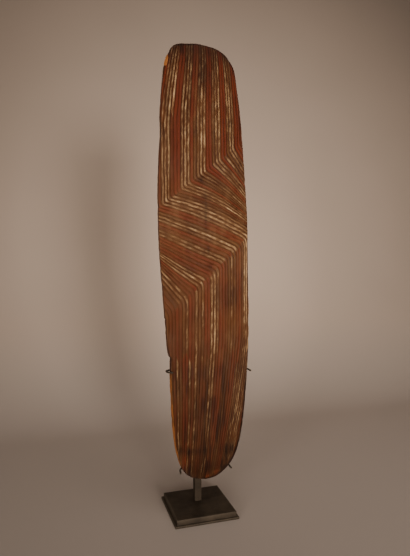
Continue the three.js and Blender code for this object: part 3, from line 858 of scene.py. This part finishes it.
def painted_flutes(colours):
    """The carved face: dark wood, with worn cream, tan and red ochre in its flutes."""
    m = Recipe("painted_flutes")
    flute, run, into, worn = m.value("flute"), m.value("run"), m.value("into"), m.value("worn")
    haze = m.value("haze")
    strand = m.join(flute, m.times(run, 0.02))
    place = m.place()
    fibre = m.noise(strand, (6.0, 1.6, 1), 5.0, 0.68)
    dashes = m.noise(strand, (1.3, 2.6, 1), 4.0, 0.7)
    lengths = m.noise(strand, (0.9, 0.55, 1), 2.0, 0.5)
    patch = m.noise(place, 16.0, 4.0, 0.6)
    smudge = m.noise(place, (90, 90, 50), 4.0, 0.65)
    speck = m.noise(place, 500.0, 3.0, 0.6)
    grain = m.noise(place, (700, 700, 40), 4.0, 0.65)
    ground = m.mix(m.span(patch, 0.3, 0.7), colours.dark_wood, colours.brown_wood)
    ground = m.mix(m.span(fibre, 0.35, 0.75, 0.0, 0.6), ground, colours.red_wood)
    red = m.mix(m.span(fibre, 0.3, 0.7), colours.deep_red, colours.red_ochre)
    red_amount = m.times(m.value("red"), m.span(m.plus(into, dashes), 0.4, 1.1))
    colour = m.mix(m.times(red_amount, m.span(worn, 0.0, 1.0, 0.95, 0.4)), ground, red)
    hold = m.plus(dashes, m.span(lengths, 0.3, 0.7, -0.1, 0.1))
    hold = m.minus(hold, m.times(worn, 0.16))
    line = m.span(m.plus(into, m.times(fibre, 0.5)), 0.78, 1.22)
    clay = m.times(line, m.span(hold, 0.3, 0.62, 0.08, 1.0))
    clay = m.times(clay, m.span(speck, 0.3, 0.55, 0.7, 1.0))
    colour = m.mix(m.times(m.times(m.value("tan"), clay), 0.6), colour, colours.tan)
    cream = m.mix(m.span(hold, 0.42, 0.72), colours.tan, colours.cream)
    colour = m.mix(m.times(m.value("cream"), clay), colour, cream)
    uneven = m.noise(strand, (2.0, 1.1, 1), 3.0, 0.6)
    dark = m.times(m.span(into, 0.0, 0.5, 0.8, 0.0), m.span(uneven, 0.35, 0.7, 0.0, 1.0))
    dark = m.times(dark, m.span(haze, 0.0, 1.0, 1.0, 0.45))
    colour = m.mix(dark, colour, colours.soot_and_shade)
    dust = m.times(haze, m.span(m.plus(smudge, fibre), 0.75, 1.3, 0.05, 0.62))
    colour = m.mix(dust, colour, colours.dust)
    # Grime, and the painted shade along the rim, darken the face towards soot
    colour = m.mix(m.value("dirt"), colour, colours.soot_and_shade)
    rough = m.span(m.plus(fibre, patch), 0.6, 1.4, 0.5, 0.8)
    normal = m.bump(grain, 0.4, 0.0004)
    normal = m.bump(m.plus(fibre, m.times(clay, 0.4)), 0.5, 0.0004, normal)
    return m.finish(colour, rough, normal, 0.15)


def old_wood(name, light, dark, red, red_share):
    """Hand-carved wood, oiled by hands, with its grain along the board."""
    m = Recipe(name)
    place = m.place()
    grain = m.noise(place, (420, 420, 16), 5.0, 0.62)
    figure = m.noise(place, (60, 60, 5), 4.0, 0.6)
    patch = m.noise(place, 14.0, 3.0, 0.5)
    colour = m.mix(m.span(figure, 0.3, 0.7), dark, light)
    colour = m.mix(m.span(grain, 0.35, 0.7, 0.0, 0.7), colour, dark)
    stain = m.times(m.span(patch, 0.42, 0.66), red_share)
    colour = m.mix(stain, colour, red)
    rough = m.span(grain, 0.25, 0.75, 0.42, 0.72)
    normal = m.bump(grain, 0.5, 0.0005)
    normal = m.bump(patch, 0.25, 0.003, normal)
    return m.finish(colour, rough, normal, 0.4)


def torn_wood(name, colours, stained_from, browned):
    """Wood laid bare where the rim has split away: stained from a height up, fresh below it."""
    m = Recipe(name)
    place = m.place()
    height = m.add("ShaderNodeSeparateXYZ")
    m.put(height.inputs[0], place)
    fibre = m.noise(place, (900, 900, 26), 5.0, 0.7)
    patch = m.noise(place, (90, 90, 36), 3.0, 0.6)
    colour = m.mix(m.span(fibre, 0.3, 0.7), colours.torn_dark, colours.torn_light)
    colour = m.mix(m.span(patch, 0.48, 0.66, 0.0, browned), colour, colours.brown_wood)
    old = m.plus(height.outputs["Z"], m.span(patch, 0.3, 0.7, -0.012, 0.012))
    stained = m.mix(m.span(fibre, 0.3, 0.7), colours.dark_wood, colours.deep_red)
    colour = m.mix(m.span(old, stained_from, stained_from + 0.006), colour, stained)
    normal = m.bump(fibre, 0.8, 0.0008)
    return m.finish(colour, m.span(fibre, 0.3, 0.7, 0.6, 0.85), normal, 0.3)


def blackened_metal(colours):
    """Waxed, blackened steel with rubbed edges lightened, as wear and as a painted sheen, and a little
    dust.
    """
    m = Recipe("waxed_black_steel")
    place = m.place()
    cloud = m.noise(place, 34.0, 5.0, 0.6)
    fine = m.noise(place, 900.0, 3.0, 0.6)
    smear = m.noise(place, (20, 70, 30), 4.0, 0.6)
    edge = m.value("edge")
    colour = m.mix(m.span(cloud, 0.35, 0.68), colours.metal_dark, colours.metal_brown)
    rubbed_and_sheen = m.times(edge, m.span(cloud, 0.3, 0.7, 0.35, 1.0))
    # Lighter on the edges: rubbed wear, and a painted sheen along them
    colour = m.mix(rubbed_and_sheen, colour, colours.metal_rubbed_and_sheen)
    rough = m.span(m.plus(smear, fine), 0.7, 1.3, 0.5, 0.72)
    normal = m.bump(fine, 0.12, 0.0003)
    normal = m.bump(cloud, 0.15, 0.0012, normal)
    return m.finish(colour, rough, normal, 0.5, index=1.16)


def pale_floor(stage):
    m = Recipe("studio_floor")
    place = m.place()
    cloud = m.noise(place, 1.6, 2.0, 0.5)
    base = tuple(stage.floor_colour)
    darker = tuple(channel * 0.93 for channel in base)
    colour = m.mix(m.span(cloud, 0.3, 0.7), darker, base)
    height = m.add("ShaderNodeSeparateXYZ")
    m.put(height.inputs[0], place)
    # The floor and the foot of the sweep are darker and greyer, fading out by 0.25 m up
    darker_greyer_low = tuple(channel * share for channel, share in zip(base, (0.86, 0.92, 0.99)))
    colour = m.mix(m.span(height.outputs["Z"], 0.0, 0.25, 1.0, 0.0), colour, darker_greyer_low)
    return m.finish(colour, 0.9, m.bump(m.noise(place, 300.0), 0.05, 0.001), 0.1)


# The stand's pieces

def stand_metal(context):
    """The one metal of all the stand's pieces."""
    made = bpy.data.materials.get("waxed_black_steel")
    return made or blackened_metal(context.scene.shield_colours)


def rounded_square(half_x, half_y, corner, z, steps=5):
    ring = []
    for quarter, (sx, sy) in enumerate(((1, 1), (-1, 1), (-1, -1), (1, -1))):
        for step in range(steps + 1):
            turn = math.pi / 2 * (quarter + step / steps)
            ring.append((
                sx * (half_x - corner) + corner * math.cos(turn),
                sy * (half_y - corner) + corner * math.sin(turn),
                z,
            ))
    return np.array(ring)


def rounded_profile(points, radius, steps=4):
    """Rounds each inner corner of a path of (inset, height) with a small arc."""
    path = [np.array(p, float) for p in points]
    done = [path[0]]
    for before, corner, after in zip(path, path[1:], path[2:]):
        back, on = before - corner, after - corner
        reach = min(radius, np.hypot(*back) / 2, np.hypot(*on) / 2)
        start = corner + back / np.hypot(*back) * reach
        end = corner + on / np.hypot(*on) * reach
        for step in range(steps + 1):
            t = step / steps
            done.append((1 - t) ** 2 * start + 2 * t * (1 - t) * corner + t * t * end)
    return [*done, path[-1]]


def rod_body(name, route, radius, material):
    """A round rod along a centripetal Catmull-Rom route, with domed ends."""
    p = np.array(route, float)
    padded = np.vstack([2 * p[0] - p[1], p, 2 * p[-1] - p[-2]])
    centre = []
    for i in range(len(p) - 1):
        a, b, c, d = padded[i:i + 4]
        t0 = 0.0
        t1 = t0 + np.linalg.norm(b - a) ** 0.5
        t2 = t1 + np.linalg.norm(c - b) ** 0.5
        t3 = t2 + np.linalg.norm(d - c) ** 0.5
        t = np.linspace(t1, t2, ROD_STEPS, endpoint=False)[:, None]
        a1 = (t1 - t) / (t1 - t0) * a + (t - t0) / (t1 - t0) * b
        a2 = (t2 - t) / (t2 - t1) * b + (t - t1) / (t2 - t1) * c
        a3 = (t3 - t) / (t3 - t2) * c + (t - t2) / (t3 - t2) * d
        b1 = (t2 - t) / (t2 - t0) * a1 + (t - t0) / (t2 - t0) * a2
        b2 = (t3 - t) / (t3 - t1) * a2 + (t - t1) / (t3 - t1) * a3
        centre.append((t2 - t) / (t2 - t1) * b1 + (t - t1) / (t2 - t1) * b2)
    centre = np.vstack([*centre, p[-1:]])
    tangent = np.gradient(centre, axis=0)
    tangent /= np.linalg.norm(tangent, axis=1)[:, None]
    side = np.cross(tangent, (0, 0, 1))
    side /= np.linalg.norm(side, axis=1)[:, None]
    up = np.cross(side, tangent)
    spin = np.linspace(0, 2 * math.pi, ROD_SIDES, endpoint=False)
    rings = []
    for inset, width in DOME:
        place = centre[0] + tangent[0] * radius * inset
        rings.append(ring_round(place, side[0], up[0], radius * width, spin))
    for c, s, u in list(zip(centre, side, up))[1:-1]:
        rings.append(ring_round(c, s, u, radius, spin))
    for inset, width in reversed(DOME):
        place = centre[-1] - tangent[-1] * radius * inset
        rings.append(ring_round(place, side[-1], up[-1], radius * width, spin))
    return ring_object(name, rings, material)


def ring_round(centre, side, up, radius, spin):
    return centre + radius * (np.cos(spin)[:, None] * side + np.sin(spin)[:, None] * up)


def settle(piece, node):
    """Puts a finished piece in a node's place."""
    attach(piece, "root")
    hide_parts(node)


# Sizes and colours that a user may change

def length(name, description, default):
    return FloatProperty(name=name, description=description, default=default, unit="LENGTH")


def tone(name, description, *default):
    return FloatVectorProperty(name=name, description=description, default=default, subtype="COLOR")


def angle(name, description, degrees):
    return FloatProperty(
        name=name, description=description, default=math.radians(degrees), subtype="ANGLE")


class ShieldSizes(bpy.types.PropertyGroup):
    flute_depth: length("Flute depth", "Depth of the carved flutes", 0.0014)
    lines_per_flute: IntProperty(
        name="Lines per flute", description="Mesh lines across one flute", default=8, min=4, max=10)
    rim_step: length("Rim step", "Spacing of points round the rim", 0.0022)


class ShieldColours(bpy.types.PropertyGroup):
    cream: tone("Cream", "Worn pipeclay in the flutes", 0.47, 0.295, 0.145)
    tan: tone("Tan", "Thin, dirty pipeclay", 0.135, 0.060, 0.019)
    dust: tone("Dust", "Clay rubbed thin over everything", 0.17, 0.085, 0.034)
    red_ochre: tone("Red ochre", "Brightest red paint", 0.13, 0.0200, 0.0042)
    deep_red: tone("Deep red", "Rubbed red paint", 0.062, 0.0098, 0.0022)
    brown_wood: tone("Brown wood", "Lighter bare wood", 0.068, 0.0205, 0.0042)
    red_wood: tone("Red wood", "Bare wood with red rubbed into it", 0.078, 0.0165, 0.0031)
    dark_wood: tone("Dark wood", "Darker bare wood", 0.030, 0.0080, 0.0016)
    back_light: tone("Back, light", "Lighter oiled wood of the back", 0.15, 0.055, 0.018)
    back_dark: tone("Back, dark", "Darker oiled wood of the back", 0.055, 0.018, 0.006)
    rim_light: tone("Rim, light", "Lighter wood of the rim", 0.10, 0.036, 0.012)
    rim_dark: tone("Rim, dark", "Darker wood of the rim", 0.03, 0.01, 0.004)
    # Dirt colour, also used for the painted shade along the rim
    soot_and_shade: tone("Dirt", "Dirt between the flutes", 0.011, 0.0034, 0.0009)
    torn_light: tone("Torn wood, light", "Bare fibres of the break", 0.40, 0.145, 0.028)
    torn_dark: tone("Torn wood, dark", "Shaded fibres of the break", 0.22, 0.065, 0.012)
    metal_dark: tone("Metal, dark", "Blackened metal", 0.028, 0.0200, 0.0132)
    metal_brown: tone("Metal, brown", "Browned metal", 0.053, 0.0370, 0.0235)
    # Lighter metal of rubbed edges, which also serves as a painted sheen there
    metal_rubbed_and_sheen: tone("Metal, rubbed", "Metal on rubbed edges", 0.085, 0.064, 0.044)


class StandSizes(bpy.types.PropertyGroup):
    ledge: length("Ledge", "Width of the plinth's step", 0.004)
    ledge_height: length("Ledge height", "Height of the plinth's foot", 0.0039)
    corner: length("Corner", "Radius of the plinth's upright corners", 0.0009)
    rod_radius: length("Rod radius", "Radius of the arms' rods", 0.0016)


class StageSettings(bpy.types.PropertyGroup):
    floor_colour: tone("Floor", "Colour of the floor and its sweep", 0.52, 0.40, 0.315)
    floor_reach: length("Floor reach", "How far the floor runs forward and sideways", 4.0)
    wall_place: length("Wall", "How far behind the stand the wall is", 1.15)
    sweep_radius: length("Sweep radius", "Radius of the curve up to the wall", 0.7)
    wall_height: length("Wall height", "Height of the wall", 3.2)
    camera_place: FloatVectorProperty(
        name="Camera", description="Where the camera stands", default=(-0.2535, -0.8568, 0.449),
        subtype="TRANSLATION")
    camera_yaw: angle("Camera yaw", "Turn from looking along +Y", 17.25)
    camera_pitch: angle("Camera pitch", "Tilt above the level", -0.56)
    lens: FloatProperty(name="Lens", description="Focal length in millimetres", default=30.4)
    key_power: FloatProperty(name="Key light", description="Power of the key light", default=8.2)
    side_power: FloatProperty(name="Side light", description="Power of the left light", default=3.4)
    top_power: FloatProperty(name="Top light", description="Power of the top light", default=3.3)
    air_strength: FloatProperty(name="Air", description="Strength of the light all round", default=0.16)


# Operators

class SHIELD_OT_carve_board(bpy.types.Operator):
    """Carves the fluted board with its rim, breaks and handle, and paints its face"""
    bl_idname = "shield.carve_board"
    bl_label = "Carve the Board"

    def execute(self, context):
        sizes, colours = context.scene.shield_sizes, context.scene.shield_colours
        face = painted_flutes(colours)
        red = colours.deep_red
        back = old_wood("oiled_back", colours.back_light, colours.back_dark, red, red_share=0.45)
        rim = old_wood("dark_rim", colours.rim_light, colours.rim_dark, red, red_share=0.3)
        torn = torn_wood("torn_wood", colours, stained_from=0.262, browned=0.75)
        chipped = torn_wood("chipped_wood", colours, stained_from=0.9, browned=0.1)
        board = front_slab(sizes, face)
        apply_boolean(board, back_slab(back), "INTERSECT")
        apply_boolean(board, outline_block(sizes, rim), "INTERSECT")
        apply_boolean(board, rim_loss("loss_cut", LOST_RIM, 61, torn), "DIFFERENCE")
        apply_boolean(board, rim_loss("corner_cut", LOST_CORNER, 71, chipped), "DIFFERENCE")
        apply_boolean(board, scoop_tool(back), "DIFFERENCE")
        apply_boolean(board, handle_body(back), "UNION")
        x, _, z = points_of(board).T
        names = ("cream", "red", "tan", "into", "flute", "run", "worn", "haze", "dirt")
        store_values(board, names, (*paint_values(x, z), dirt_and_rim_shade_values(x, z)))
        smooth_by_angle(board, 42)
        settle(board, "shield")
        return {"FINISHED"}


class SHIELD_OT_build_plinth(bpy.types.Operator):
    """Builds the stepped square plinth with softened edges"""
    bl_idname = "shield.build_plinth"
    bl_label = "Build the Plinth"

    def execute(self, context):
        stand = context.scene.stand_sizes
        _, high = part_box("plinth")
        half, height = high.x / MM, high.z / MM
        ledge, step = stand.ledge / MM, stand.ledge_height / MM
        corner = stand.corner / MM
        path = rounded_profile([
            (1.2, 0), (0, 0), (0, step), (ledge, step), (ledge, height), (ledge + 3, height),
        ], 0.7)
        rings = [rounded_square(half - i, half - i, corner, z) for i, z in path]
        for share in (0.8, 0.6, 0.4, 0.2):
            inner = (half - ledge - 3) * share
            rings.append(rounded_square(inner, inner, corner, height))
        metal = stand_metal(context)
        plinth = ring_object("plinth_block", rings, metal)
        points = points_of(plinth)
        out = np.maximum(np.abs(points[:, 0]), np.abs(points[:, 1]))
        on_top = (points[:, 2] > height - 0.8) & (out > half - ledge - 1.2)
        on_step = (np.abs(points[:, 2] - step) < 0.7) & (out > half - 0.9)
        # The top and step edges are marked for the lighter rubbed wear and painted sheen
        store_values(plinth, ("edge",), [np.where(on_top | on_step, 0.8, 0.0)])
        smooth_by_angle(plinth, 30)
        settle(plinth, "plinth")
        return {"FINISHED"}


class SHIELD_OT_build_post(bpy.types.Operator):
    """Builds the square post behind the shield"""
    bl_idname = "shield.build_post"
    bl_label = "Build the Post"

    def execute(self, context):
        low, high = (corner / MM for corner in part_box("post"))
        half_x, half_y = (high.x - low.x) / 2, (high.y - low.y) / 2
        middle_y = (high.y + low.y) / 2
        path = [(0.3, low.z), (0, low.z + 0.3)]
        path += [(0, low.z + (high.z - low.z) * share) for share in (0.25, 0.5, 0.75)]
        path += rounded_profile([(0, high.z - 3), (0, high.z), (2.5, high.z)], 0.9)
        rings = []
        for inset, z in path:
            ring = rounded_square(half_x - inset, half_y - inset, 0.9, z)
            ring[:, 1] += middle_y
            rings.append(ring)
        metal = stand_metal(context)
        post = ring_object("post_bar", rings, metal)
        points = points_of(post)
        near_x = np.abs(np.abs(points[:, 0]) - half_x) < 0.5
        near_y = np.abs(np.abs(points[:, 1] - middle_y) - half_y) < 0.5
        # The upright corners are marked for the lighter rubbed wear and painted sheen
        store_values(post, ("edge",), [np.where(near_x & near_y, 0.5, 0.0)])
        smooth_by_angle(post, 35)
        settle(post, "post")
        return {"FINISHED"}


class SHIELD_OT_bend_arms(bpy.types.Operator):
    """Bends the two rods that hold the shield"""
    bl_idname = "shield.bend_arms"
    bl_label = "Bend the Arms"

    def execute(self, context):
        radius = context.scene.stand_sizes.rod_radius / MM
        metal = stand_metal(context)
        for node, route in (("upper_arm", UPPER_ARM_ROUTE), ("lower_arm", LOWER_ARM_ROUTE)):
            rod = rod_body(node + "_rod", route, radius, metal)
            # The rods are lightened all over a little, as rubbed wear and painted sheen
            store_values(rod, ("edge",), [np.full(len(rod.data.vertices), 0.15)])
            smooth_by_angle(rod, 50)
            settle(rod, node)
        return {"FINISHED"}


class SHIELD_OT_set_stage(bpy.types.Operator):
    """Lays the pale floor with its sweep, and sets the lights and the camera"""
    bl_idname = "shield.set_stage"
    bl_label = "Set the Stage"

    def execute(self, context):
        stage = context.scene.stage_settings
        self.lay_floor(stage)
        self.hang_lights(context, stage)
        self.place_camera(context, stage)
        return {"FINISHED"}

    def lay_floor(self, stage):
        """A flat floor that curves up into a wall behind."""
        profile = [(-stage.floor_reach, 0.0), (-0.5, 0.0), (stage.wall_place - stage.sweep_radius, 0.0)]
        for turn in np.linspace(0, math.pi / 2, 24)[1:]:
            profile.append((
                stage.wall_place - stage.sweep_radius * (1 - math.sin(turn)),
                stage.sweep_radius * (1 - math.cos(turn)),
            ))
        profile.append((stage.wall_place, stage.wall_height))
        across = np.linspace(-stage.floor_reach, stage.floor_reach, 9)
        points = [(x / MM, y / MM, z / MM) for y, z in profile for x in across]
        faces = grid_faces(len(profile), len(across)).tolist()
        floor = new_mesh_object("studio_floor", points, faces, pale_floor(stage))
        smooth_by_angle(floor, 60)

    def hang_lights(self, context, stage):
        world = bpy.data.worlds.new("studio_air")
        context.scene.world = world
        world.use_nodes = True
        air = world.node_tree.nodes["Background"]
        air.inputs["Color"].default_value = (*WARM, 1)
        air.inputs["Strength"].default_value = stage.air_strength
        for name, size, spread, place, target, tint in LIGHTS:
            light = bpy.data.lights.new(name, "AREA")
            light.energy = getattr(stage, name + "_power")
            light.size = size
            light.spread = math.radians(spread)
            light.color = tint
            lamp = bpy.data.objects.new(name, light)
            context.scene.collection.objects.link(lamp)
            lamp.location = place
            lamp.rotation_euler = (Vector(target) - Vector(place)).to_track_quat("-Z", "Y").to_euler()

    def place_camera(self, context, stage):
        yaw, pitch = stage.camera_yaw, stage.camera_pitch
        forward = Vector((
            math.sin(yaw) * math.cos(pitch), math.cos(yaw) * math.cos(pitch), math.sin(pitch),
        ))
        right = Vector((math.cos(yaw), -math.sin(yaw), 0))
        up = right.cross(forward)
        lens = bpy.data.cameras.new("camera")
        lens.sensor_width = 36
        lens.lens = stage.lens
        camera = bpy.data.objects.new("camera", lens)
        context.scene.collection.objects.link(camera)
        turn = Matrix((right, up, -forward)).transposed().to_4x4()
        camera.matrix_world = Matrix.Translation(stage.camera_place) @ turn
        context.scene.camera = camera


class SHIELD_PT_sidebar(bpy.types.Panel):
    bl_label = "Carved Shield"
    bl_idname = "SHIELD_PT_sidebar"
    bl_space_type = "VIEW_3D"
    bl_region_type = "UI"
    bl_category = "Shield"

    def draw(self, context):
        layout, scene = self.layout, context.scene
        for title, group in (
            ("Shield", scene.shield_sizes), ("Colours", scene.shield_colours),
            ("Stand", scene.stand_sizes), ("Stage", scene.stage_settings),
        ):
            box = layout.box()
            box.label(text=title)
            for key in group.__annotations__:
                box.prop(group, key)
        for operator in OPERATORS:
            layout.operator(operator.bl_idname)


GROUPS = {
    "shield_sizes": ShieldSizes, "shield_colours": ShieldColours,
    "stand_sizes": StandSizes, "stage_settings": StageSettings,
}
OPERATORS = (
    SHIELD_OT_carve_board, SHIELD_OT_build_plinth, SHIELD_OT_build_post, SHIELD_OT_bend_arms,
    SHIELD_OT_set_stage,
)


def register():
    for group in (*GROUPS.values(), *OPERATORS, SHIELD_PT_sidebar):
        bpy.utils.register_class(group)
    for name, group in GROUPS.items():
        setattr(bpy.types.Scene, name, PointerProperty(type=group))


def unregister():
    for name in GROUPS:
        delattr(bpy.types.Scene, name)
    for group in reversed((*GROUPS.values(), *OPERATORS, SHIELD_PT_sidebar)):
        bpy.utils.unregister_class(group)


def main():
    register()
    bpy.ops.shield.carve_board()
    bpy.ops.shield.build_plinth()
    bpy.ops.shield.build_post()
    bpy.ops.shield.bend_arms()
    bpy.ops.shield.set_stage()


if __name__ == "__main__":
    main()
